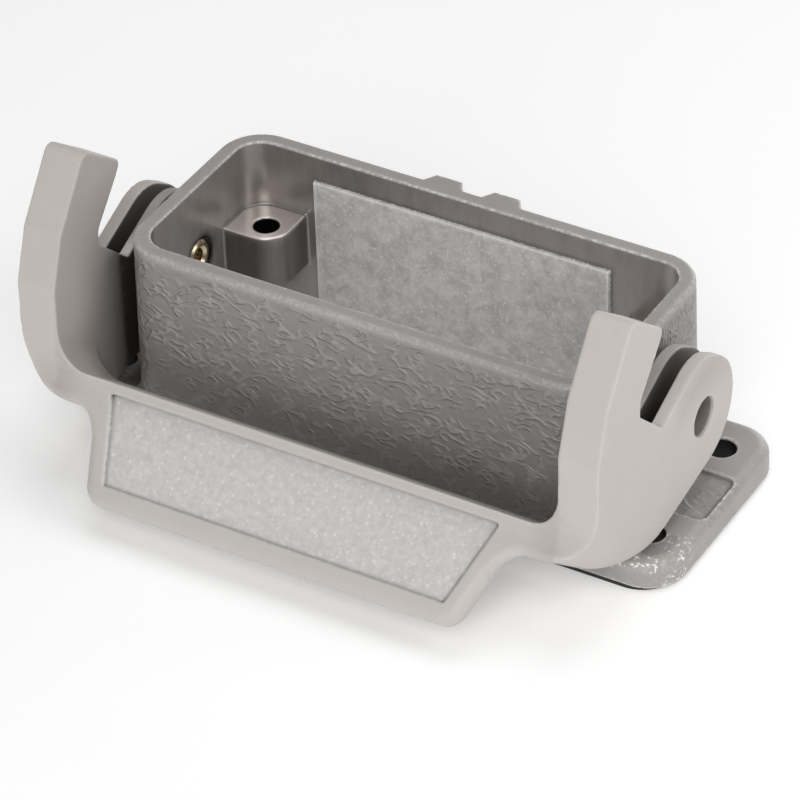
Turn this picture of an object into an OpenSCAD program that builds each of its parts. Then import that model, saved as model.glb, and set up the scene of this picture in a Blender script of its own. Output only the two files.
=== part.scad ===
// Bulkhead housing of a heavy duty rectangular connector with one locking lever. Millimetres.
// Z = 0 is the panel face under the gasket, +X runs along the housing and the lever opens towards -Y.
// The lever is drawn open, as it rests on its stop.

/* [Hood rim] */
// Length over the rim
rim_l = 61.9; // [50:0.1:80]
// Width over the rim
rim_w = 28.1; // [23:0.1:36]
// Height of the rim above the panel
rim_h = 24.8; // [20:0.1:32]
// Wall thickness at the rim
wall = 2.0; // [1.5:0.1:2.6]
// Corner radius outside the rim
rim_r = 5.3; // [4:0.1:7]
// How far each wall leans out from the rim to the flange
draft = 0.35; // [0:0.05:0.6]
// Rounding of the cast edges
edge_r = 0.5; // [0.2:0.05:0.8]

/* [Flange] */
// How far the flange stands out past the rim at each end
flange_end = 9.15; // [8.6:0.05:12]
// How far the flange stands out past the rim at each side
flange_side = 0.45; // [0.4:0.05:3]
// Thickness of the flange
flange_t = 3.5; // [2.5:0.1:5]
// Corner radius of the flange
flange_r = 4.8; // [3:0.1:6]
// Rounding of the upper flange edge
flange_round = 1.3; // [0.5:0.1:1.8]
// Diameter of the panel screw holes
screw_d = 3.6; // [3:0.1:4.4]
// Panel screw holes, from the flange end
screw_end = 5.1; // [4:0.1:6]
// Panel screw holes, from the flange side
screw_side = 5.75; // [4:0.05:7]
// Depth of the shallow field between the two screws at each end
field_t = 0.5; // [0.2:0.1:1]
// Width of that field
field_w = 8.4; // [6:0.1:9]
// Border between that field and the flange end
field_edge = 0.9; // [0.8:0.1:2]

/* [Insert bosses] */
// Height of the boss tops above the panel
boss_top = 16; // [14:0.1:18]
// Height of the bosses
boss_h = 7.1; // [5:0.1:9]
// Length of a boss along the housing
boss_l = 7.3; // [6.5:0.1:9]
// Width of a boss across the housing
boss_w = 7; // [6.5:0.1:8.5]
// Corner radius of a boss
boss_r = 3.2; // [1:0.1:4]
// Diameter of the insert screw holes
insert_d = 3.2; // [2.5:0.1:3.6]
// Insert screw holes, from the end wall inside
insert_end = 4.2; // [3.6:0.1:5]
// Insert screw holes, from the side wall inside
insert_side = 4.05; // [3.5:0.05:5]

/* [Wall pads and ribs] */
// Length of the raised pad on each long wall inside
pad_l = 39.2; // [20:0.2:40]
// How far the pad is raised
pad_t = 0.5; // [0.2:0.05:0.8]
// Height of the pad above the panel
pad_top = 21.3; // [18:0.1:23]
// How far the pads sit off the middle of the walls
pad_shift = -0.65; // [-1:0.05:1]
// Width of a rib on the back wall
rib_w = 5; // [3:0.1:6]
// Width of the rib's outer face
rib_face = 3.4; // [2:0.1:4]
// How far the ribs stand out from the rim
rib_t = 1.35; // [1:0.05:2]
// Distance between the two ribs, centre to centre
rib_pitch = 7.7; // [6.5:0.1:12]

/* [Gasket] */
// Thickness of the gasket
gasket_t = 0.5; // [0.4:0.05:2]
// How far the gasket stays inside the flange ends
gasket_end = 0.9; // [0.2:0.1:1.5]
// How far the gasket stays inside the flange sides
gasket_side = 0.15; // [0:0.05:0.4]
// Gap between the gasket and the screws
gasket_gap = 0.25; // [0.1:0.05:0.5]

/* [Pivot] */
// Height of the pivot above the panel
pivot_h = 15; // [14:0.1:18]
// Diameter of the pivot pins
pin_d = 3.4; // [2.8:0.1:4]
// Diameter of the pin heads
pin_head_d = 4.5; // [4.2:0.1:4.6]
// Thickness of the pin heads
pin_head_t = 1.1; // [0.6:0.1:1.3]
// Diameter of the flared pin end inside the housing
pin_flare_d = 4.4; // [3.8:0.1:4.6]
// Bore of the tubular pin end
pin_bore_d = 2; // [1.4:0.1:2.2]
// Diameter of the bearing boss on each end wall
bearing_d = 8; // [6.5:0.1:10]
// How far the bearing boss stands out from the end wall
bearing_t = 0.6; // [0.4:0.05:1]
// Radial clearance between a pin and the lever
pin_clear = 0.05; // [0.02:0.01:0.1]
// Clearance between the bearing boss and the lever
side_clear = 0.3; // [0.2:0.05:0.5]

/* [Lever arms] */
// Thickness of an arm
arm_t = 5; // [4.4:0.1:6]
// Thickness of the outer plate of the forked ear
plate_out = 1.7; // [1.4:0.1:2]
// Thickness of the inner plate of the forked ear
plate_in = 1.5; // [1.2:0.1:1.7]
// Radius of the ear about the pivot
ear_r = 7.1; // [6:0.1:8]
// Diameter of the access hole in the outer plate
access_d = 4.8; // [4.7:0.1:5.4]
// Height of the horn tip above the pivot
horn_h = 23.4; // [22:0.1:25]
// How far the arms reach out past the rim side
reach = 11.05; // [10.5:0.05:14]
// Radius of the lower outer corners
corner_r = 7; // [6:0.1:10]
// Radius of the lower corners between the arms
inner_r = 3.5; // [2:0.1:4]

/* [Lever handle] */
// Length of the handle at its lower edge
handle_l = 49.2; // [40:0.1:52]
// Width of the handle plate down its slope
handle_w = 13.8; // [12:0.1:18]
// Thickness of the handle plate
handle_t = 3; // [2.8:0.1:4]
// Slope of the handle plate below the horizontal
handle_slope = 42.8; // [38:0.2:48]
// How much each handle end widens towards the arms, per millimetre of slope
handle_flare = 0.3; // [0.1:0.02:0.4]
// Corner radius of the handle
handle_r = 2.6; // [2:0.1:4]
// Rounding of the handle edges
handle_round = 1.3; // [0.5:0.1:1.4]
// Depth of the grip field in the handle
grip_t = 0.4; // [0.2:0.05:0.8]
// Height of the cross bar between the arms
bar_h = 3.7; // [3:0.1:5]
// Slope of the cross bar faces below the horizontal
bar_slope = 40; // [36:0.5:46]

/* [Hidden] */
cut = 0.5;          // how far a cutting body runs past the face it cuts
big = 60;           // longer than any cut through the lever
arc_steps = 6;      // fewest straight pieces in a rounded corner of an outline
arc_turn = 8;       // most degrees that one of them turns

flange_l = rim_l + 2 * flange_end;
flange_w = rim_w + 2 * flange_side;
flange_top = gasket_t + flange_t;
cavity_l = rim_l - 2 * wall;
cavity_w = rim_w - 2 * wall;
cavity_r = rim_r - wall;
screw_x = flange_l / 2 - screw_end;
screw_y = flange_w / 2 - screw_side;
insert_x = cavity_l / 2 - insert_end;
insert_y = cavity_w / 2 - insert_side;
bearing_x = rim_l / 2 + draft + bearing_t;
arm_x = bearing_x + side_clear;
lever_x = arm_x + arm_t;
fork_gap = arm_t - plate_in - plate_out;
front_y = -rim_w / 2 - reach;
pin_seat = 0.02;    // radial clearance of a pin in the housing wall
pin_bore = 2;       // depth of the bore in the flared pin end
pin_edge = 0.3;     // chamfer of the pin's edges
flare_gap = 0.15;   // clearance around the flared pin end
flare_t = 0.5;      // thickness of the flared pin end
flare_land = 0.4;   // flat crest of the flared pin end
bar_l = 7.4;        // cross bar, from the front face back
hub_t = 1.2;        // wall of the hub round the access hole
neck_r = 3.8;       // radius of the hollow between handle and arm
neck_t = 2.2;       // thickness of the plate at that hollow
neck_round = 0.9;   // rounding of its edges
neck_lap = 0.45;    // overlap of its plate and the arm
handle_top_l = handle_l + 2 * handle_flare * (handle_w - 2 * handle_r);
grip_start = 1.25;  // grip field, from the upper edge of the handle down its slope
grip_end = handle_w - 2.3;
grip_low = handle_l / 2 - 2.5;      // half length of the grip field at its lower edge
grip_high = grip_low + handle_flare * (grip_end - grip_start);

// Rounds the corners of a closed path of [x, y, radius].
function unit(v) = v / norm(v);
function corner(a, b, c, r) =
    let (u = unit(a - b), v = unit(c - b), half = acos(u * v) / 2, reach_on = r / tan(half),
         mid = b + unit(u + v) * r / sin(half), p = b + u * reach_on - mid, q = b + v * reach_on - mid,
         turn = acos(min(1, max(-1, p * q / (r * r)))), side = sign(p.x * q.y - p.y * q.x),
         steps = max(arc_steps, ceil(turn / arc_turn)))
    [for (i = [0:steps]) let (t = side * turn * i / steps)
        mid + [p.x * cos(t) - p.y * sin(t), p.x * sin(t) + p.y * cos(t)]];
function flat(p) = [p.x, p.y];
function rounded(path) = let (n = len(path)) [for (i = [0:n - 1]) each path[i].z == 0 ? [flat(path[i])]
    : corner(flat(path[(i + n - 1) % n]), flat(path[i]), flat(path[(i + 1) % n]), path[i].z)];

// Where two lines meet, each given by the direction of its normal and its distance from the pivot.
function meet(a, b) = [a[1] * sin(b[0]) - b[1] * sin(a[0]), b[1] * cos(a[0]) - a[1] * cos(b[0])]
    / sin(b[0] - a[0]);
function line_through(angle, p) = [angle, p.x * cos(angle) + p.y * sin(angle)];

// Side outline of an arm, as [y, z, radius] from the pivot.
bar_edge = [front_y + 0.9, -1.1];                       // upper edge of the handle's front face
ear_upper = [56, ear_r];
ear_lower = [-79, ear_r];
bar_face = line_through(270 - bar_slope, bar_edge);
bar_under = [bar_face[0], bar_face[1] + bar_h];
handle_face = line_through(90 + handle_slope, bar_edge);
front_face = [180, -front_y];
ear_peak = [-0.5, (ear_r + 0.5 * cos(ear_upper[0])) / sin(ear_upper[0]), 6];
slot_ear = [-9.8, 5, 0.3];                              // slot root, at the ear
slot_horn = [-15.3, 10.2, 0.5];                         // slot root, at the horn
slot_back = [-15.2, 12.2, 1.6];                         // end of the slot's straight side
horn_belly = [-11, 17, 3];                              // inner side of the horn
horn_tip = [-9.9, horn_h - 4.8, 0.9];
horn_top = [-16.8, horn_h + 0.5, 1.3];
horn_brow = [front_y + 2.5, 15.8, 1];                   // lower end of the horn's top facet
horn_foot = [front_y + 0.3, 9.4, 1.5];                  // lower end of its middle facet
function with_r(p, r) = [p.x, p.y, r];
arm_outline = rounded([
    with_r(meet(ear_upper, ear_lower), ear_r),
    ear_peak,
    slot_ear,
    slot_horn,
    slot_back,
    horn_belly,
    horn_tip,
    horn_top,
    horn_brow,
    horn_foot,
    with_r(meet(front_face, handle_face), 4),
    with_r(meet(handle_face, bar_under), 0.9),
    with_r(meet(bar_under, ear_lower), 2)]);

// Handle plate: x along the lever, y up its slope from the upper edge of the front face.
neck_y = neck_round / 3 - bar_h / sin(90 + handle_slope - bar_slope);
neck_l = handle_l + 2 * handle_flare * (handle_w + neck_y - handle_r)
         + 2 * handle_r * (1 / cos(atan(handle_flare)) - 1);
neck_x = neck_l / 2 + neck_r * (1 - sin(atan(handle_flare))) / cos(atan(handle_flare));

// Section of a cast block: revolved at the corners and joined between them.
module cast_block(l, w, r, section) {
    hull()
        for (x = [-1, 1], y = [-1, 1])
            translate([x * (l / 2 - r), y * (w / 2 - r), 0])
                rotate_extrude($fn = 48)
                    polygon(concat([[0, section[0][1]]],
                                   [for (p = section) [r + p[0], p[1]]],
                                   [[0, section[len(section) - 1][1]]]));
}
function rounded_top(z, r) = [for (i = [0:arc_steps]) let (a = 90 * i / arc_steps)
    [r * (cos(a) - 1), z - r * (1 - sin(a))]];

module round_rect(l, w, r) {
    square([l - 2 * r, w], center = true);
    square([l, w - 2 * r], center = true);
    for (x = [-1, 1], y = [-1, 1])
        translate([x * (l / 2 - r), y * (w / 2 - r)])
            circle(r, $fn = 64);
}

module at_corners(x, y) {
    for (i = [-1, 1], j = [-1, 1])
        translate([i * x, j * y, 0])
            children();
}

// A revolved shape laid along X: its axis points outwards from the end wall on that side.
module on_pivot(side) {
    translate([0, 0, pivot_h])
        rotate([0, 90 * side, 0])
            children();
}

module insert_boss() {
    translate([0, 0, boss_top - boss_h])
        linear_extrude(boss_h) {
            translate([boss_r, 0])
                square([boss_l + wall / 2 - boss_r, boss_w + wall / 2]);
            translate([0, boss_r])
                square([boss_l + wall / 2, boss_w + wall / 2 - boss_r]);
            translate([boss_r, boss_r])
                circle(boss_r, $fn = 64);
        }
}

module back_rib() {
    foot = wall / 2;
    translate([0, rim_w / 2, flange_top - cut])
        linear_extrude(rim_h - flange_top + cut)
            polygon([[-rib_w / 2, -foot], [rib_w / 2, -foot], [rib_w / 2, 0], [rib_face / 2, rib_t],
                     [-rib_face / 2, rib_t], [-rib_w / 2, 0]]);
}

module end_field(side) {
    inner = rim_l / 2 + draft + edge_r;
    outer = flange_l / 2 - field_edge;
    translate([side * (inner + outer) / 2, 0, flange_top - field_t])
        linear_extrude(field_t + cut)
            round_rect(outer - inner, field_w, 1);
}

module housing() {
    color("#7f7c79")
        difference() {
            union() {
                cast_block(rim_l, rim_w, rim_r,
                           concat([[draft, gasket_t + edge_r], [draft, flange_top]],
                                  rounded_top(rim_h, edge_r)));
                cast_block(flange_l, flange_w, flange_r,
                           concat([[0, gasket_t]], rounded_top(flange_top, flange_round)));
                for (x = [-1, 1])
                    translate([x * rib_pitch / 2, 0, 0])
                        back_rib();
                for (side = [-1, 1])
                    on_pivot(side)
                        cylinder(d = bearing_d, h = bearing_x, $fn = 64);
            }
            difference() {
                translate([0, 0, gasket_t - cut])
                    linear_extrude(rim_h - gasket_t + 2 * cut)
                        round_rect(cavity_l, cavity_w, cavity_r);
                for (x = [-1, 1], y = [-1, 1])
                    mirror([x < 0 ? 1 : 0, 0, 0])
                        mirror([0, y < 0 ? 1 : 0, 0])
                            translate([cavity_l / 2 - boss_l, cavity_w / 2 - boss_w, 0])
                                insert_boss();
                for (y = [-1, 1])
                    translate([pad_shift, y * (cavity_w / 2), (pad_top + gasket_t) / 2])
                        cube([pad_l, 2 * pad_t, pad_top - gasket_t], center = true);
            }
            at_corners(insert_x, insert_y)
                translate([0, 0, boss_top - boss_h - cut])
                    cylinder(d = insert_d, h = boss_h + 2 * cut, $fn = 64);
            at_corners(screw_x, screw_y)
                cylinder(d = screw_d, h = flange_top + cut, $fn = 64);
            for (side = [-1, 1]) {
                end_field(side);
                on_pivot(side) {
                    cylinder(d = pin_d + 2 * pin_seat, h = bearing_x + cut, $fn = 64);
                    cylinder(d = pin_flare_d + 2 * flare_gap, h = cavity_l / 2 + flare_t, $fn = 64);
                }
            }
        }
}

module flange_gasket() {
    color("#1b1b1c")
        linear_extrude(gasket_t)
            difference() {
                round_rect(flange_l - 2 * gasket_end, flange_w - 2 * gasket_side, flange_r - gasket_side);
                round_rect(cavity_l, cavity_w, cavity_r);
                at_corners(screw_x, screw_y)
                    circle(d = screw_d + 2 * gasket_gap, $fn = 64);
            }
}

// Tubular pin: flared ring inside the housing, shank through wall and inner ear plate, flat head in the fork.
module pivot_pin(side) {
    inside = cavity_l / 2;
    head = arm_x + plate_in + side_clear / 3;
    crest = (pin_bore_d + pin_flare_d) / 4;
    color("#c9b98f")
        on_pivot(side)
            rotate_extrude($fn = 64)
                polygon([[0, inside + pin_bore], [pin_bore_d / 2, inside + pin_bore],
                         [pin_bore_d / 2, inside + pin_edge], [crest - flare_land / 2, inside],
                         [crest + flare_land / 2, inside], [pin_flare_d / 2, inside + pin_edge],
                         [pin_flare_d / 2, inside + flare_t - pin_seat], [pin_d / 2, inside + flare_t],
                         [pin_d / 2, head], [pin_head_d / 2, head],
                         [pin_head_d / 2, head + pin_head_t - pin_edge],
                         [pin_head_d / 2 - pin_edge, head + pin_head_t], [0, head + pin_head_t]]);
}

module pivot_pin_left() { pivot_pin(-1); }
module pivot_pin_right() { pivot_pin(1); }

// A solid with a cross-section seen along the slope of the cross bar.
module along_bar() {
    translate([0, 0, pivot_h])
        rotate([90 - bar_slope, 0, 0])
            translate([0, 0, -big])
                linear_extrude(2 * big)
                    children();
}

module bar_envelope() {
    along_bar()
        translate([0, big / 2 - bar_under[1]])
            round_rect(2 * lever_x, big, corner_r);
}

module window() {
    along_bar()
        translate([0, big / 2 - bar_face[1]])
            round_rect(2 * arm_x, big, inner_r);
}

// Draws a [y, z] outline from the pivot in the side plane, running along X from x to x + t.
module from_side(x) {
    translate([x, 0, pivot_h])
        rotate([90, 0, 90])
            children();
}

module arm(side) {
    mirror([side < 0 ? 1 : 0, 0, 0])
        difference() {
            from_side(arm_x)
                linear_extrude(arm_t)
                    polygon(arm_outline);
            difference() {
                from_side(arm_x + plate_in)
                    translate([slot_ear.x, -2 * ear_r])
                        cube([big, 4 * ear_r, fork_gap]);
                on_pivot(1)
                    cylinder(d = access_d + 2 * hub_t, h = lever_x, $fn = 64);
            }
            on_pivot(1) {
                cylinder(d = pin_d + 2 * pin_clear, h = lever_x - plate_out, $fn = 64);
                translate([0, 0, arm_x + plate_in])
                    cylinder(d = access_d, h = arm_t, $fn = 64);
            }
        }
}

module cross_bar() {
    difference() {
        from_side(-arm_x - cut)
            linear_extrude(2 * (arm_x + cut))
                intersection() {
                    polygon(arm_outline);
                    translate([front_y + bar_l - big, -big])
                        square([big, big + bar_edge.y + corner_r]);
                }
        window();
    }
}

module on_handle() {
    translate([0, bar_edge.x, pivot_h + bar_edge.y])
        rotate([handle_slope, 0, 0])
            children();
}

// Thick plate with full round edges, wider towards the arms.
module handle_plate() {
    section = concat([for (i = [0:arc_steps]) let (a = 90 * i / arc_steps)
                         [handle_round * (sin(a) - 1), -handle_t + handle_round * (1 - cos(a))]],
                     [for (p = rounded_top(0, handle_round)) p]);
    hull()
        for (side = [-1, 1], end = [[handle_l / 2, -handle_w + handle_r], [handle_top_l / 2, -handle_r]])
            translate([side * (end.x - handle_r), end.y, 0])
                rotate_extrude($fn = 32)
                    polygon(concat([[0, -handle_t]], [for (p = section) [handle_r + p[0], p[1]]], [[0, 0]]));
}

// Hollow curve with round edges between a side of the handle plate and the arm.
module handle_neck(side) {
    lean = atan(handle_flare);
    turns = [for (i = [0:arc_steps]) 90 * i / arc_steps];
    mirror([side < 0 ? 1 : 0, 0, 0])
        difference() {
            translate([0, 0, -neck_t])
                linear_extrude(neck_t)
                    polygon([[neck_l / 2 - neck_r, neck_y + neck_lap],
                             [neck_l / 2 - 2 * neck_r, neck_y - neck_r],
                             [neck_x - neck_r * cos(lean), neck_y - neck_r * (1 - sin(lean))],
                             [neck_x, neck_y], [neck_x, neck_y + neck_lap]]);
            translate([neck_x, neck_y - neck_r, 0])
                rotate_extrude($fn = 64)
                    polygon(concat([[0, cut], [neck_r + neck_round, cut]],
                                   [for (a = turns) [neck_r + neck_round * (1 - sin(a)),
                                                     -neck_round * (1 - cos(a))]],
                                   [for (a = turns) [neck_r + neck_round * (1 - cos(a)),
                                                     -neck_t + neck_round * (1 - sin(a))]],
                                   [[neck_r + neck_round, -neck_t - cut], [0, -neck_t - cut]]));
        }
}

module locking_lever() {
    color("#c2bcb6")
        difference() {
            union() {
                intersection() {
                    union() {
                        arm(-1);
                        arm(1);
                        cross_bar();
                    }
                    bar_envelope();
                }
                on_handle() {
                    handle_plate();
                    for (side = [-1, 1])
                        handle_neck(side);
                }
            }
            on_handle()
                translate([0, 0, -grip_t])
                    linear_extrude(grip_t + cut)
                        polygon([[-grip_low, -grip_end], [grip_low, -grip_end], [grip_high, -grip_start],
                                 [-grip_high, -grip_start]]);
        }
}

housing();
flange_gasket();
pivot_pin_left();
pivot_pin_right();
locking_lever();
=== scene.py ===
# %% [markdown]
# # Bulkhead housing with a locking lever
# A small die-cast housing of a heavy duty connector, coated grey, with a plastic
# lever that snaps over the mating hood. The exact shapes come from the CAD part.
# This lesson keeps those shapes and gives them soft edges, coats and light, one
# piece after the other: housing, lever, gasket, pins.

# %% The frame
import math

import bmesh
import bpy
import numpy as np
from mathutils import Euler, Matrix, Vector
from mathutils.kdtree import KDTree


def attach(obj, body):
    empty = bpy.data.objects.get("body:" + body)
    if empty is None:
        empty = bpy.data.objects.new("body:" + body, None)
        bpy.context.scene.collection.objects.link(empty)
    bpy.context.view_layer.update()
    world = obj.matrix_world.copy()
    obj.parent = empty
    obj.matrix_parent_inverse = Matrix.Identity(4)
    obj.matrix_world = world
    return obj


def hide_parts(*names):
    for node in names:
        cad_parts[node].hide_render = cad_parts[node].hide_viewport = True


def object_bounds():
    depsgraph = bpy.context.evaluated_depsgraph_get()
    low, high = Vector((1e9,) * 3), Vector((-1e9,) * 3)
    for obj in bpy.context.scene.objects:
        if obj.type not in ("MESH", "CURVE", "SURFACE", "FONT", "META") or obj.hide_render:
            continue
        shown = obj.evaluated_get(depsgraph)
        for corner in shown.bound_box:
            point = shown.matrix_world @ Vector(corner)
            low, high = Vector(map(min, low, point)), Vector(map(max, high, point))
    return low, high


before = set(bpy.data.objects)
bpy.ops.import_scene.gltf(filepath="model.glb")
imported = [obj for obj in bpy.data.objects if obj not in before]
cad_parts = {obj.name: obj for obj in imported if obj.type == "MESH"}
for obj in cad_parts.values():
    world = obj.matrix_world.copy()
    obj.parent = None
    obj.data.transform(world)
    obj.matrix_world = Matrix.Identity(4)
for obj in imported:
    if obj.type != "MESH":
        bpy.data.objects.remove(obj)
cad_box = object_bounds()
MM = 0.001  # the frame is in metres, and the sizes below are in millimetres
print("CAD nodes:", ", ".join(sorted(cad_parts)))

# %% [markdown]
# ## Camera
# A long lens from a high three-quarter view keeps the parallel edges nearly
# parallel, as in a catalogue. The view is given the way a tripod is set: which
# side, how high, how far, and a slight tilt.

# %% Camera
AIM = Vector((3.6, -8.6, 11.5)) * MM
SIDE, HEIGHT, TILT = math.radians(31.37), math.radians(36.95), math.radians(-2.1)
DISTANCE = 518 * MM


def direction(side, height):
    """From the object towards a side (0 is the front, a quarter turn the right) and a height."""
    level = math.cos(height)
    return Vector((level * math.sin(side), -level * math.cos(side), math.sin(height)))


lens = bpy.data.cameras.new("camera")
lens.lens = 205.8
lens.shift_x, lens.shift_y = -0.0062, -0.0022
lens.clip_start, lens.clip_end = 0.01, 10
camera = bpy.data.objects.new("camera", lens)
turn = Euler((math.pi / 2 - HEIGHT, 0, SIDE)).to_matrix() @ Matrix.Rotation(TILT, 3, "Z")
camera.matrix_world = Matrix.Translation(AIM + DISTANCE * direction(SIDE, HEIGHT)) @ turn.to_4x4()
bpy.context.scene.collection.objects.link(camera)
bpy.context.scene.camera = camera
print("camera at", [round(v / MM) for v in camera.location], "mm")

# %% [markdown]
# ## Colours and nodes
# Colours are written as the hex values that a colour picker shows. Blender works
# with linear light, so one function turns them. A second one adds a node to a
# material, sets it and links it. The short ones after it each stand for one kind of
# node, so that a material reads like a recipe: noises, then tones, then relief.

# %% Helpers for materials
def linear(hex_colour):
    """The linear RGBA of an sRGB hex colour."""
    parts = [int(hex_colour[i:i + 2], 16) / 255 for i in (1, 3, 5)]
    return [c / 12.92 if c <= 0.04045 else ((c + 0.055) / 1.055) ** 2.4 for c in parts] + [1]


def add(tree, kind, inputs=(), **settings):
    """Adds a node. Inputs are values or the output sockets that feed them."""
    node = tree.nodes.new("ShaderNode" + kind)
    for name, value in settings.items():
        setattr(node, name, value)
    for socket, value in dict(inputs).items():
        if isinstance(value, bpy.types.NodeSocket):
            tree.links.new(value, node.inputs[socket])
        else:
            node.inputs[socket].default_value = value
    return node


def mix(tree, factor, one, two):
    """The colour between two. Sockets 6, 7 and 2 are the Mix node's colours and result."""
    one, two = (linear(c) if isinstance(c, str) else c for c in (one, two))
    return add(tree, "Mix", {0: factor, 6: one, 7: two}, data_type="RGBA").outputs[2]


def maths(tree, operation, *values):
    """The result of a Math node on one, two or three values."""
    return add(tree, "Math", dict(enumerate(values)), operation=operation).outputs[0]


def noise(tree, place, scale, detail, **more):
    """Cloudy values round 0.5, in so many waves a metre."""
    settings = {"Vector": place, "Scale": scale, "Detail": detail}
    return add(tree, "TexNoise", settings | more).outputs[0]


def stretch(tree, value, start=0, end=1, low=0, high=1, **settings):
    """Turns values from start to end into values from low to high."""
    limits = {"From Min": start, "From Max": end, "To Min": low, "To Max": high}
    return add(tree, "MapRange", {"Value": value} | limits, **settings).outputs[0]


def stored(tree, name):
    """A value that was stored on the mesh."""
    return add(tree, "Attribute", attribute_name=name).outputs["Fac"]


def bump(tree, height, strength, depth, **under):
    """The normal of a relief so many mm deep."""
    relief = {"Height": height, "Strength": strength, "Distance": depth * MM}
    return add(tree, "Bump", relief | under).outputs[0]


def finish_named(name):
    """A new material with a Principled shader: (material, its node tree, the shader)."""
    material = bpy.data.materials.new(name)
    material.use_nodes = True
    tree = material.node_tree
    print("new material:", name)
    return material, tree, tree.nodes["Principled BSDF"]


print("mid grey #808080 is", round(linear("#808080")[0], 3), "in linear light")

# %% [markdown]
# ## Light and floor
# Metal parts look best under big soft boxes: one from above and behind makes the
# top faces bright, and weaker ones from the front and the right leave the walls a
# step darker. A white floor sends light back up, so no shadow has a hard border.

# %% Floor
FLOOR_WIDTH = 2.4

sheet = bmesh.new()
bmesh.ops.create_grid(sheet, x_segments=1, y_segments=1, size=FLOOR_WIDTH / 2)
floor_mesh = bpy.data.meshes.new("floor")
sheet.to_mesh(floor_mesh)
sheet.free()
floor = bpy.data.objects.new("floor", floor_mesh)
bpy.context.scene.collection.objects.link(floor)
floor.location.z = cad_box[0][2]

# A light table: opal acrylic, faintly lit from below, so that shadows stay pale.
acrylic, tree, shader = finish_named("opal_acrylic")
shader.inputs["Base Color"].default_value = linear("#ececec")
shader.inputs["Roughness"].default_value = 0.9
shader.inputs["Specular IOR Level"].default_value = 0.1
shader.inputs["Emission Color"].default_value = linear("#ffffff")
shader.inputs["Emission Strength"].default_value = 0.25
floor_mesh.materials.append(acrylic)

# %% Lights
def soft_light(name, side, height, watts, size=300, far=600):
    """A square soft box that points at the object from a side and height in degrees."""
    way = direction(math.radians(side), math.radians(height))
    data = bpy.data.lights.new(name, "AREA")
    data.shape, data.size, data.energy = "SQUARE", size * MM, watts
    lamp = bpy.data.objects.new(name, data)
    lamp.location = way * far * MM
    lamp.rotation_euler = way.to_track_quat("Z", "Y").to_euler()
    bpy.context.scene.collection.objects.link(lamp)
    print(f"{name}: {watts} W, {size} mm wide, {far} mm away")


soft_light("top_box", 190, 73, 1.15, size=420)
soft_light("back_box", 180, 14, 0.85)
soft_light("right_box", 98, 38, 0.175, size=150, far=240)
soft_light("front_box", 5, 15, 0.9)
soft_light("high_box", 22, 42, 1.2)

world = bpy.data.worlds.new("studio")
bpy.context.scene.world = world
world.use_nodes = True
world.node_tree.nodes["Background"].inputs["Color"].default_value = linear("#ffffff")
world.node_tree.nodes["Background"].inputs["Strength"].default_value = 0.15
bpy.context.scene.view_settings.view_transform = "Standard"

# %% [markdown]
# ## Soft edges
# A casting or a moulding has no sharp edge: the tool is rounded and the coat
# flows round it. A Bevel modifier needs clean long faces, and a CAD mesh has
# slivers. So a merged copy is remeshed into small cubes' corners (voxels),
# smoothed a few times, which rounds every edge by the same small radius, and then
# thinned. The flat faces stay where the CAD put them.

# %% Rounded copies
VOXEL = 0.15  # mm
MOST_TRIANGLES = 190000  # of one piece, after thinning
SAME_POINT = 2e-6  # metres: the CAD mesh's faces share their corners only by place


def evaluated(piece):
    """The piece's mesh with its modifiers applied."""
    graph = bpy.context.evaluated_depsgraph_get()
    mesh = bpy.data.meshes.new_from_object(piece.evaluated_get(graph))
    piece.modifiers.clear()
    piece.data = mesh
    return mesh


def rounded(node, name, passes):
    """A CAD node with soft edges, 0.3 mm at 5 passes: (the object, its mesh before thinning)."""
    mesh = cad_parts[node].data.copy()
    shell = bmesh.new()
    shell.from_mesh(mesh)
    bmesh.ops.remove_doubles(shell, verts=shell.verts, dist=SAME_POINT)
    shell.to_mesh(mesh)
    shell.free()
    piece = bpy.data.objects.new(name, mesh)
    bpy.context.scene.collection.objects.link(piece)
    skin = piece.modifiers.new("skin", "REMESH")
    skin.mode, skin.voxel_size, skin.adaptivity = "VOXEL", VOXEL * MM, 0
    soften = piece.modifiers.new("soften", "SMOOTH")
    soften.factor, soften.iterations = 0.5, passes
    dense = evaluated(piece)
    thin = piece.modifiers.new("thin", "DECIMATE")
    thin.ratio = min(1, MOST_TRIANGLES / (2 * len(dense.polygons)))
    mesh = evaluated(piece)
    mesh.materials.clear()
    mesh.shade_smooth()
    triangles = sum(len(p.vertices) - 2 for p in mesh.polygons)
    print(f"{name}: {len(dense.polygons)} voxel faces, {triangles} triangles")
    return piece, dense


print("voxels of", VOXEL, "mm, at most", MOST_TRIANGLES, "triangles a piece")

# %% [markdown]
# Light and shade are painted along the shape: outer edges get a painted highlight, and
# hollows a painted shade. Each point is compared with the middle of its
# neighbours. Where it stands out the surface is an edge, and where it lies back it
# is a hollow. The result is stored on the mesh, where a material can read it.

# %% Edges and hollows
def points_of(mesh):
    """The vertices' places, one row each, in metres."""
    values = np.empty(len(mesh.vertices) * 3)
    mesh.vertices.foreach_get("co", values)
    return values.reshape(-1, 3)


def store(mesh, name, values):
    """Keeps one value a vertex on the mesh, cut to 0..1, for the materials to read."""
    layer = mesh.attributes.new(name, "FLOAT", "POINT")
    layer.data.foreach_set("value", np.clip(values, 0, 1).astype(np.float32))


FULL_BEND = 0.1  # a point that stands out by this share of a voxel counts as a full edge


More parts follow.
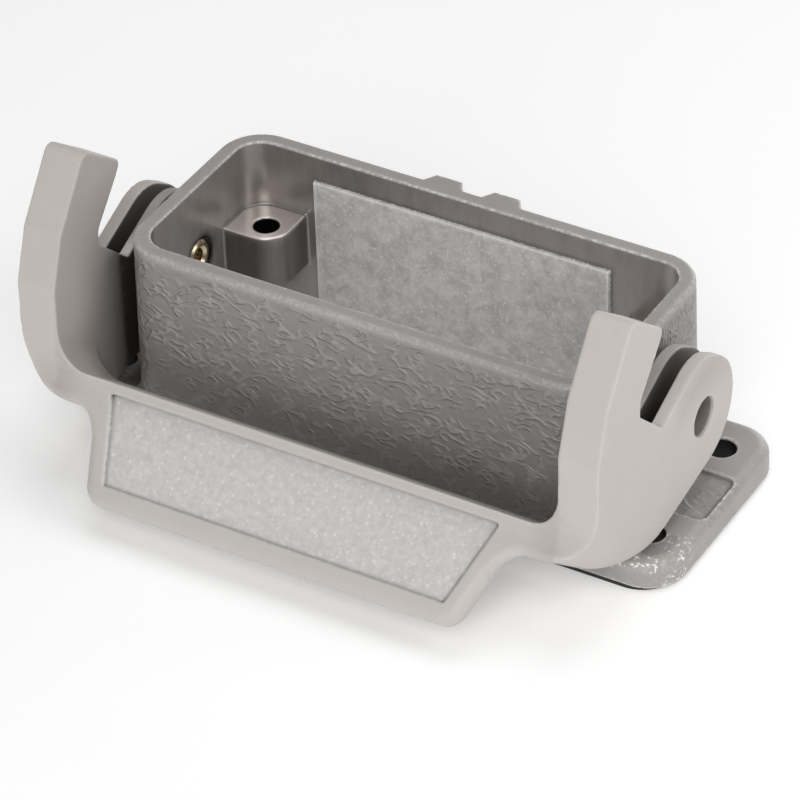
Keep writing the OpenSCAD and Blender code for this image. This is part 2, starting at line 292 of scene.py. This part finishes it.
def mark_edges(piece, dense, reach=4):
    """Stores 'edge' and 'hollow', 0 to 1, on the piece, measured on its dense mesh."""
    points, count = points_of(dense), len(dense.vertices)
    ends = np.empty(len(dense.edges) * 2, int)
    dense.edges.foreach_get("vertices", ends)
    one, two = ends[::2], ends[1::2]
    share = np.bincount(one, minlength=count) + np.bincount(two, minlength=count)

    def mean(values):
        return (np.bincount(one, values[two], count) + np.bincount(two, values[one], count)) / share

    outward = np.empty(count * 3)
    dense.vertex_normals.foreach_get("vector", outward)
    middle = np.stack([mean(points[:, i]) for i in range(3)], 1)
    bend = ((points - middle) * outward.reshape(-1, 3)).sum(1) / (VOXEL * MM)
    for _ in range(reach):
        bend = 0.5 * bend + 0.5 * mean(bend)
    tree = KDTree(count)
    for i, p in enumerate(points):
        tree.insert(p, i)
    tree.balance()
    nearest = [tree.find(v.co)[1] for v in piece.data.vertices]
    store(piece.data, "edge", bend[nearest] / FULL_BEND)
    store(piece.data, "hollow", -bend[nearest] / FULL_BEND)
    print(f"{piece.name}: edge up to {bend.max():.3f}, hollow down to {bend.min():.3f}")


print("a full edge stands out by", round(VOXEL * FULL_BEND, 4), "mm")

# %% [markdown]
# ## Housing
# The housing is die-cast aluminium under a grey powder coat. On the outer walls the
# coat is thick and crinkled, and on the rim and the flange it is thin and fine. Both
# are one coat, so it is one material, and a value on the mesh tells where it crinkles.

# %% Housing shape
housing, dense = rounded("housing", "housing_casting", 5)
mark_edges(housing, dense)
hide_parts("housing")
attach(housing, "housing")

# %% Where the coat crinkles
RIM = (30.2, 13.2, 4.6)  # half length, half width and corner radius of the rim's middle line
HINGE = (0, 15)          # y and z of the pins' axis. All these sizes are in mm


def side_front_height(points):
    """Places in mm, with both ends of the part folded onto one another."""
    return np.abs(points[:, 0]) / MM, points[:, 1] / MM, points[:, 2] / MM


def past(values, start, reach):
    """0 up to the start, 1 from start + reach on. A negative reach turns it round."""
    return np.clip((values - start) / reach, 0, 1)


def outside_of(points, half_l, half_w, radius):
    """How far, in mm, points lie outside an upright rounded box."""
    side, front, _ = side_front_height(points)
    x, y = side - (half_l - radius), np.abs(front) - (half_w - radius)
    return np.hypot(np.maximum(x, 0), np.maximum(y, 0)) + np.minimum(np.maximum(x, y), 0) - radius


def ring(points, axis, at, radius, fade):
    """1 within a radius of a line along an axis, in mm, and 0 once it has faded."""
    across = np.delete(points / MM, axis, 1) - at
    return past(np.hypot(across[:, 0], across[:, 1]), radius + fade, -fade)


points = points_of(housing.data)
side, front, height = side_front_height(points)
out_of_rim = outside_of(points, *RIM)
on_wall = past(out_of_rim, 0, 0.3) * past(height, 4.3, 0.4)
# The sunk fields on the flange's ends crinkle too, but less.
end_fields = 0.45 * (side > 31.5) * (np.abs(front) < 4.2) * (height > 3)
store(housing.data, "crinkle", (on_wall + end_fields) * past(height, 24.1, -0.5))
print(f"crinkled: {100 * on_wall.mean():.0f}% of the housing's points")

# %% Painted shade, highlights and glints on the housing
# Painted shade, dark where shade falls: round the flared ends of the pins, down the holes of the
# panel screws and of the insert's screws, under the arms, and less on the screw bosses, low on the
# front wall and towards its right end.
painted_shade = ring(points, 0, HINGE, 2.5, 0.6) * (side < 29.4)
for x, y, radius, top in ((35, 8.75, 1.85, 3.7), (24.75, 8, 1.65, 15.7)):
    for at in ((-x, -y), (-x, y), (x, -y), (x, y)):
        painted_shade = np.maximum(painted_shade, ring(points, 2, at, radius, 0.1) * (height < top))
on_end = (side > 30.5) * past(side, 34, -2)
under_arms = 0.85 * on_end * (height < 5) * (front < 0) * past(front, -15, 3)
on_boss = 0.55 * (side > 21.4) * (out_of_rim < -1.5) * past(height, 15.8, -0.4)
to_right = past(points[:, 0] / MM, -30, 60)
# Painted shade low on the front wall, stronger to the right, where the right arm shades it.
low_wall = (0.02 + 0.68 * to_right) * on_wall * (front < 0) * past(height, 14, -9)
# A faint painted shade on the right half of the front, darker towards the right end.
right_end_shade = 0.2 * past(to_right, 0.5, 0.5) * (front < -8) * (height > 4)
painted_shade = np.maximum.reduce([painted_shade, under_arms, on_boss, low_wall, right_end_shade])
store(housing.data, "painted_shade", painted_shade)
# The flat tops of the screw bosses get a painted highlight: a light tone for the light they catch.
store(housing.data, "boss_top_light", (side > 21.5) * (np.abs(height - 16) < 0.12) * (out_of_rim < -1.5))
# Painted glints: bright flecks on the front corners of the flange, where light glints on the coat.
store(housing.data, "painted_glints", past(side, 31, 3) * past(front, -7, -3) * (height < 4.5))
print(f"more than half shaded: {100 * (painted_shade > 0.5).mean():.1f}% of the housing's points")

# %% [markdown]
# Powder is sprayed on dry and melted in an oven. A thick coat shrinks into short
# worm-like ridges and has a satin gloss. A noise that is stretched along a slant
# crosses its middle value in just such lines, and the ridges stand there.

# %% Powder coat
coat, tree, shader = finish_named("powder_coat_grey")
place = add(tree, "TexCoord").outputs["Object"]
crinkle = stored(tree, "crinkle")
edge = stored(tree, "edge")
hollow = stored(tree, "hollow")

# One wave of noise is 1 / scale, here 0.95 mm, and 1.7 times that along the slant,
# so the ridges are about 0.4 mm wide. A noise of 1.7 mm breaks them into short pieces.
lean = (0, math.radians(-30), 0)
slant = add(tree, "Mapping", {"Vector": place, "Rotation": lean, "Scale": (0.6, 1, 1)})
worms = noise(tree, slant.outputs[0], 1050, 0.3, Distortion=0.2)
middle = maths(tree, "SUBTRACT", worms, 0.5)
away = maths(tree, "ABSOLUTE", middle)
fold = stretch(tree, away, 0.17, 0.0, interpolation_type="SMOOTHSTEP")
# Cloudy tone, 6 mm.
cloud = noise(tree, place, 170, 3)
pieces = noise(tree, place, 600, 1)
swell = stretch(tree, pieces, 0.4, 0.58, low=0.1)
risen = maths(tree, "MULTIPLY", fold, swell)
crest = maths(tree, "MULTIPLY", risen, crinkle)
# Grain of the powder: 0.15 mm.
grain = noise(tree, place, 6500, 2, Roughness=0.6)

# The thick crinkled coat is a shade darker than the thin smooth one.
smooth = mix(tree, cloud, "#989491", "#a7a3a0")
tone = mix(tree, crinkle, smooth, "#918d8a")
speck = stretch(tree, grain, 0.35, 0.75, high=0.35)
grainy = mix(tree, speck, tone, "#76726f")
# The ridge crests are painted lighter: a painted highlight where light catches them.
faint = maths(tree, "MULTIPLY", crest, 0.22)
lit = mix(tree, faint, grainy, "#cac6c3")
# The painted highlight on the edges and the painted glints on the flange are patchy: a noise of 0.5
# mm breaks them up.
patch = noise(tree, place, 2000, 3, Roughness=0.7)
broken = stretch(tree, patch, 0.45, 0.6, low=0.2)
sharp = maths(tree, "POWER", edge, 1.4)
painted_highlight = maths(tree, "MULTIPLY", sharp, broken)
highlighted = mix(tree, painted_highlight, lit, "#e4e1dd")
# Painted glints on the flange's front corners.
painted_glints = stored(tree, "painted_glints")
glint_patches = stretch(tree, patch, 0.56, 0.62)
place_of = stretch(tree, cloud, 0.52, 0.58)
glint_spots = maths(tree, "MULTIPLY", glint_patches, place_of)
bright = maths(tree, "MULTIPLY", glint_spots, painted_glints)
with_glints = mix(tree, bright, highlighted, "#f2f0ed")
# Painted shade: darker in the hollows and where the stored painted shade says.
hollow_shade = maths(tree, "MULTIPLY", hollow, 0.6)
in_hollow_shade = mix(tree, hollow_shade, with_glints, "#4a4643")
painted_shade = stored(tree, "painted_shade")
with_painted_shade = mix(tree, painted_shade, in_hollow_shade, "#171412")
tree.links.new(with_painted_shade, shader.inputs["Base Color"])

gloss = stretch(tree, grain, low=0.32, high=0.5)
tree.links.new(gloss, shader.inputs["Roughness"])
relief = bump(tree, crest, 1, 0.2)
powder = bump(tree, grain, 0.5, 0.015, Normal=relief)
tree.links.new(powder, shader.inputs["Normal"])
shader.inputs["IOR"].default_value = 1.5
housing.data.materials.append(coat)

# %% [markdown]
# Two raised pads inside the long walls guide the contact insert. They are blasted
# and left bare: light grey cast aluminium, blotchy, with bright specks.

# %% Bare pads
bare, tree, shader = finish_named("bare_cast_aluminium")
place = add(tree, "TexCoord").outputs["Object"]
edge = stored(tree, "edge")
# Blotches of 1.5 mm, flecks of 0.4 mm.
blotch = noise(tree, place, 650, 4, Roughness=0.65, Distortion=0.5)
fleck = noise(tree, place, 2600, 2, Roughness=0.5)
spread = stretch(tree, blotch, 0.3, 0.7)
base = mix(tree, spread, "#b3b1af", "#dad8d6")
bright = stretch(tree, fleck, 0.58, 0.7, high=0.6)
flecked = mix(tree, bright, base, "#f6f6f4")
# Painted highlight on the edges.
highlighted = mix(tree, edge, flecked, "#fbfbf8")
tree.links.new(highlighted, shader.inputs["Base Color"])
shader.inputs["Roughness"].default_value = 0.42
relief = bump(tree, blotch, 0.8, 0.07)
tree.links.new(relief, shader.inputs["Normal"])
housing.data.materials.append(bare)

# %% [markdown]
# Inside, hardly any powder lands. The skin of the casting stays smooth and half
# glossy there, so the walls and the screw bosses mirror each other softly.

# %% Smooth inside
skin, tree, shader = finish_named("satin_cast_aluminium")
place = add(tree, "TexCoord").outputs["Object"]
edge = stored(tree, "edge")
hollow = stored(tree, "hollow")
# Metal flows up the walls while it fills the mould: streaks 1.2 mm wide and four times as tall.
tall = add(tree, "Mapping", {"Vector": place, "Scale": (1, 1, 0.25)})
flow = noise(tree, tall.outputs[0], 800, 3, Roughness=0.6)
base = mix(tree, flow, "#8f8986", "#aea9a5")
# Painted highlight on the edges.
painted_highlight = maths(tree, "MULTIPLY", edge, 0.25)
highlighted = mix(tree, painted_highlight, base, "#cfcac6")
# Painted shade: darker in the hollows and where the stored painted shade says.
hollow_shade = maths(tree, "MULTIPLY", hollow, 0.35)
in_hollow_shade = mix(tree, hollow_shade, highlighted, "#383432")
painted_shade = stored(tree, "painted_shade")
with_painted_shade = mix(tree, painted_shade, in_hollow_shade, "#171412")
# A light tone painted on the bosses' flat tops as a highlight.
boss_top_light = stored(tree, "boss_top_light")
with_boss_top_light = mix(tree, boss_top_light, with_painted_shade, "#dcd3ce")
tree.links.new(with_boss_top_light, shader.inputs["Base Color"])
gloss = stretch(tree, flow, low=0.25, high=0.38)
tree.links.new(gloss, shader.inputs["Roughness"])
shader.inputs["Metallic"].default_value = 0.65
relief = bump(tree, flow, 0.5, 0.012)
tree.links.new(relief, shader.inputs["Normal"])
housing.data.materials.append(skin)

# %% Where the housing is bare
PADS, INSIDE = 1, 2  # in the order of its materials, where the coat is 0
PAD_ENDS, PAD_FACE, PAD_FOOT, PAD_TOP = (-20.25, 18.95), 11.55, 12.05, 21.3  # mm
RIM_INSIDE, BARE_TOP = -0.9, 24.5  # mm: the coat ends just inside the rim


def on_pad(x, y, z):
    """Whether a place, in mm, is on one of the pads, or within 0.1 mm of its border."""
    return (PAD_ENDS[0] - 0.1 < x < PAD_ENDS[1] + 0.1 and z < PAD_TOP + 0.1
            and PAD_FACE - 0.1 < abs(y) < PAD_FOOT - 0.08)


middles = np.array([face.center for face in housing.data.polygons])
for face, out in zip(housing.data.polygons, outside_of(middles, *RIM)):
    if on_pad(*(face.center / MM)):
        face.material_index = PADS
    elif out < RIM_INSIDE and face.center.z < BARE_TOP * MM:
        face.material_index = INSIDE
used = [face.material_index for face in housing.data.polygons]
print("faces on the pads:", used.count(PADS), "and inside:", used.count(INSIDE))

# %% [markdown]
# ## Lever
# The lever is moulded from light grey glass-filled nylon: a dull, even surface
# with the faint mottle of the fibres. Only the recessed grip field comes from a
# spark-eroded part of the mould, which leaves a glittery grain.

# %% Lever shape
lever, dense = rounded("locking_lever", "lever_moulding", 10)
mark_edges(lever, dense)
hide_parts("locking_lever")
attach(lever, "lever")

# %% Painted shade and light on the lever
# Painted shade, with sizes in mm: in the fork between the two plates of each ear, on the arms'
# inner sides and most where they pass the housing, and round the pins' heads.
FORK_MIDDLE, FORK_HALF, INNER_SIDE = 34.6, 1.05, 32.6

points = points_of(lever.data)
side, front, height = side_front_height(points)
from_hinge = np.hypot(front - HINGE[0], height - HINGE[1])
on_ear = (from_hinge < 10.8) * (ring(points, 0, HINGE, 3.9, 0.1) == 0)
in_fork = 0.85 * past(np.abs(side - FORK_MIDDLE), FORK_HALF, -0.1) * on_ear
inner_side = past(side, INNER_SIDE, -0.3)
near_wall = inner_side * (0.14 + 0.78 * past(front, -21, 12) * past(height, 34, -12))
at_wall = 0.96 * inner_side * past(front, -15.7, 4.2) ** 1.5 * past(height, 24, -3)
plates = 0.2 * past(height, 16, 5) * past(from_hinge, 10, -4)
inner_plate = 0.4 * (side < 33.7) * past(height, 17, 3) * past(front, -9, 2)
hub = 0.55 * ring(points, 0, HINGE, 2.6, 0.3) * (side < 36.8)
painted_shade = np.maximum.reduce([in_fork, near_wall, at_wall, plates, inner_plate, hub])
store(lever.data, "painted_shade", painted_shade)
# A painted light tone on the handle and its necks, where the light falls on them.
store(lever.data, "painted_handle_light", 0.38 * past(front, -20, -4) * past(side, 31.5, -3))
print(f"more than half shaded: {100 * (painted_shade > 0.5).mean():.1f}% of the lever's points")

# %% Nylon
nylon, tree, shader = finish_named("glass_filled_nylon")
place = add(tree, "TexCoord").outputs["Object"]
edge = stored(tree, "edge")
hollow = stored(tree, "hollow")
# The mottle has waves of 4.5 mm, and the fibres are specks of 0.2 mm.
mottle = noise(tree, place, 220, 3, Roughness=0.55)
fibre = noise(tree, place, 5000, 2)
tone = mix(tree, mottle, "#bbb4af", "#c3bdb8")
speck = stretch(tree, fibre, 0.5, 0.8, high=0.25)
specked = mix(tree, speck, tone, "#aaa49e")
# Painted highlight on the edges, plus a painted light tone on the handle.
painted_handle_light = stored(tree, "painted_handle_light")
painted_highlight = maths(tree, "MULTIPLY_ADD", edge, 0.14, painted_handle_light)
highlighted = mix(tree, painted_highlight, specked, "#dcd8d3")
# Painted shade: darker in the hollows and where the stored painted shade says.
hollow_shade = maths(tree, "MULTIPLY", hollow, 0.75)
in_hollow_shade = mix(tree, hollow_shade, highlighted, "#655f5a")
painted_shade = stored(tree, "painted_shade")
with_painted_shade = mix(tree, painted_shade, in_hollow_shade, "#1d1917")
tree.links.new(with_painted_shade, shader.inputs["Base Color"])
gloss = stretch(tree, mottle, low=0.46, high=0.58)
tree.links.new(gloss, shader.inputs["Roughness"])
relief = bump(tree, fibre, 0.5, 0.01)
tree.links.new(relief, shader.inputs["Normal"])
shader.inputs["IOR"].default_value = 1.52
lever.data.materials.append(nylon)

# %% Grip field
grip, tree, shader = finish_named("spark_eroded_nylon")
place = add(tree, "TexCoord").outputs["Object"]
hollow = stored(tree, "hollow")
# Sparks leave pits about 0.8 mm apart, and about as far apart some spots glint; these glints are
# painted as light spots in the colour.
pits = noise(tree, place, 1300, 3, Roughness=0.7)
glint = add(tree, "TexVoronoi", {"Vector": place, "Scale": 1200})
base = mix(tree, pits, "#adaaa7", "#dddbd9")
spark = stretch(tree, glint.outputs[0], 0.28, 0.1, high=0.45)
sparkling = mix(tree, spark, base, "#e9e9e6")
# Painted shade in the hollows of the grip field.
in_hollow_shade = mix(tree, hollow, sparkling, "#55504c")
tree.links.new(in_hollow_shade, shader.inputs["Base Color"])
shader.inputs["Roughness"].default_value = 0.35
relief = bump(tree, pits, 0.8, 0.05)
tree.links.new(relief, shader.inputs["Normal"])
lever.data.materials.append(grip)

# %% Where the grip field is
FACE_TOP = Vector((0, -24.2, 13.9))  # upper edge of the handle's sloping face, in mm
SLOPE = math.radians(42.8)
DOWN = Vector((0, -math.cos(SLOPE), -math.sin(SLOPE)))
OUT = Vector((0, -math.sin(SLOPE), math.cos(SLOPE)))
FIELD_ENDS, FIELD_HALVES, FIELD_DEPTH = (1.25, 11.5), (25.18, 22.1), 0.4  # mm, along DOWN

found = 0
for face in lever.data.polygons:
    at = face.center / MM - FACE_TOP
    along, out = at.dot(DOWN), at.dot(OUT)
    share = (along - FIELD_ENDS[0]) / (FIELD_ENDS[1] - FIELD_ENDS[0])
    half = FIELD_HALVES[0] + (FIELD_HALVES[1] - FIELD_HALVES[0]) * share
    if (-FIELD_DEPTH - 0.2 < out < -0.08 and abs(at.x) < half + 0.1
            and FIELD_ENDS[0] - 0.1 < along < FIELD_ENDS[1] + 0.1):
        face.material_index = 1
        found += 1
print("faces in the grip field:", found)

# %% [markdown]
# ## Gasket
# A flat strip of black rubber seals the flange on the panel. Only its edge shows.
# Its CAD shape is right, so it only gets a rubber finish.

# %% Rubber
rubber, tree, shader = finish_named("nitrile_rubber")
place = add(tree, "TexCoord").outputs["Object"]
# Rubber blooms: a faint grey cloud with waves of 1.7 mm.
bloom = noise(tree, place, 600, 3)
tone = mix(tree, bloom, "#121110", "#262422")
tree.links.new(tone, shader.inputs["Base Color"])
shader.inputs["Roughness"].default_value = 0.6
relief = bump(tree, bloom, 0.4, 0.03)
tree.links.new(relief, shader.inputs["Normal"])
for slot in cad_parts["flange_gasket"].material_slots:
    slot.material = rubber

# %% [markdown]
# ## Pivot pins
# Each pin is a turned steel tube, flared over inside the housing like an eyelet and
# plated. Plating is bright with a warm cast, so it is a metal with low roughness.

# %% Plated steel
plated, tree, shader = finish_named("zinc_plated_steel")
place = add(tree, "TexCoord").outputs["Object"]
# The plating's haze has waves of 0.7 mm.
haze = noise(tree, place, 1500, 3)
tone = mix(tree, haze, "#b9a77c", "#e2d9c2")
tree.links.new(tone, shader.inputs["Base Color"])
gloss = stretch(tree, haze, low=0.16, high=0.34)
tree.links.new(gloss, shader.inputs["Roughness"])
shader.inputs["Metallic"].default_value = 1
for name in ("pivot_pin_left", "pivot_pin_right"):
    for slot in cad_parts[name].material_slots:
        slot.material = plated
